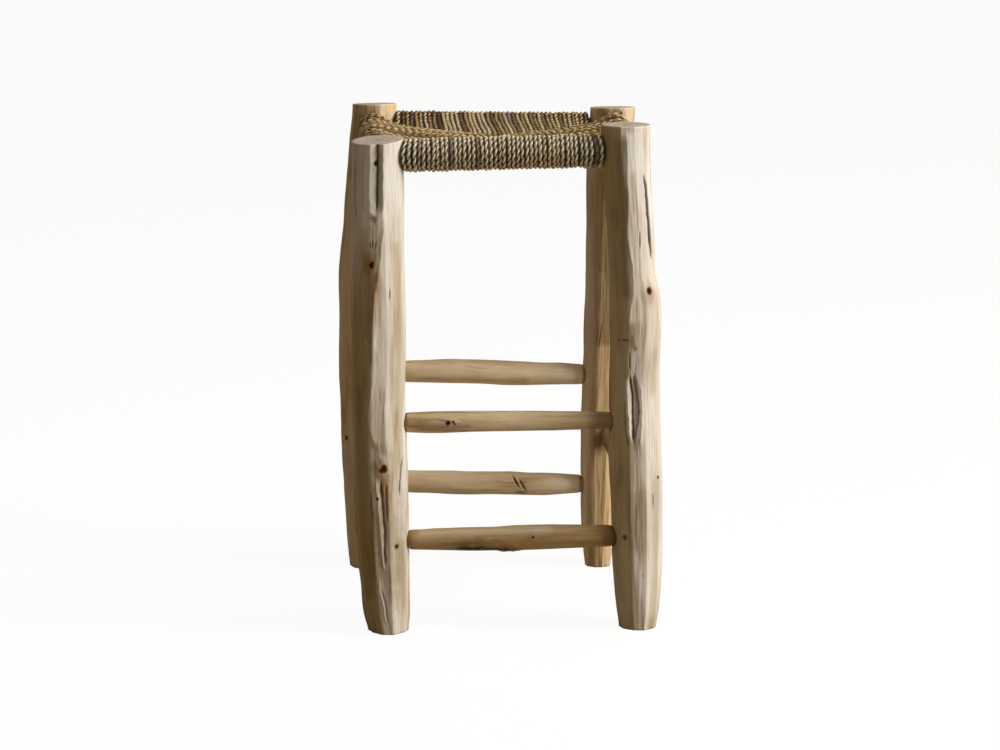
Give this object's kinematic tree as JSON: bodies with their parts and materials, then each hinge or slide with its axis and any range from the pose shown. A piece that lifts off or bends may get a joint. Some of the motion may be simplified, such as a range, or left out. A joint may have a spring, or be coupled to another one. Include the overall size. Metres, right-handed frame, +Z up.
{
  "type": "stool",
  "caption": "Tall rustic stool: hewn round legs, tapered rungs tenoned into them, and a dished square seat of twisted leaf cord woven over four rails.",
  "frame": {"origin": "on the floor under the middle of the stool", "axes": "+Z up, -Y towards the front, +X to the right of someone facing the front"},
  "size_m": [0.4195, 0.3905, 0.65],
  "materials": {
    "leg_wood": "bare hewn wood, dry and matt",
    "rail_wood": "bare peeled round wood",
    "rung_wood": "bare peeled round wood, worn smooth",
    "nail_iron": "dark iron",
    "leaf_cord": "twisted dry leaf cord"
  },
  "bodies": {
    "root": {"leg_front_left": "leg_wood", "leg_front_right": "leg_wood", "leg_back_left": "leg_wood", "leg_back_right": "leg_wood", "seat_rail_front": "rail_wood", "seat_rail_back": "rail_wood", "seat_rail_left": "rail_wood", "seat_rail_right": "rail_wood", "rung_front_upper": "rung_wood", "rung_front_lower": "rung_wood", "rung_back_upper": "rung_wood", "rung_back_lower": "rung_wood", "rung_left": "rung_wood", "rung_right": "rung_wood", "rung_nails": "nail_iron", "seat_weave": "leaf_cord"}
  },
  "joints": []
}
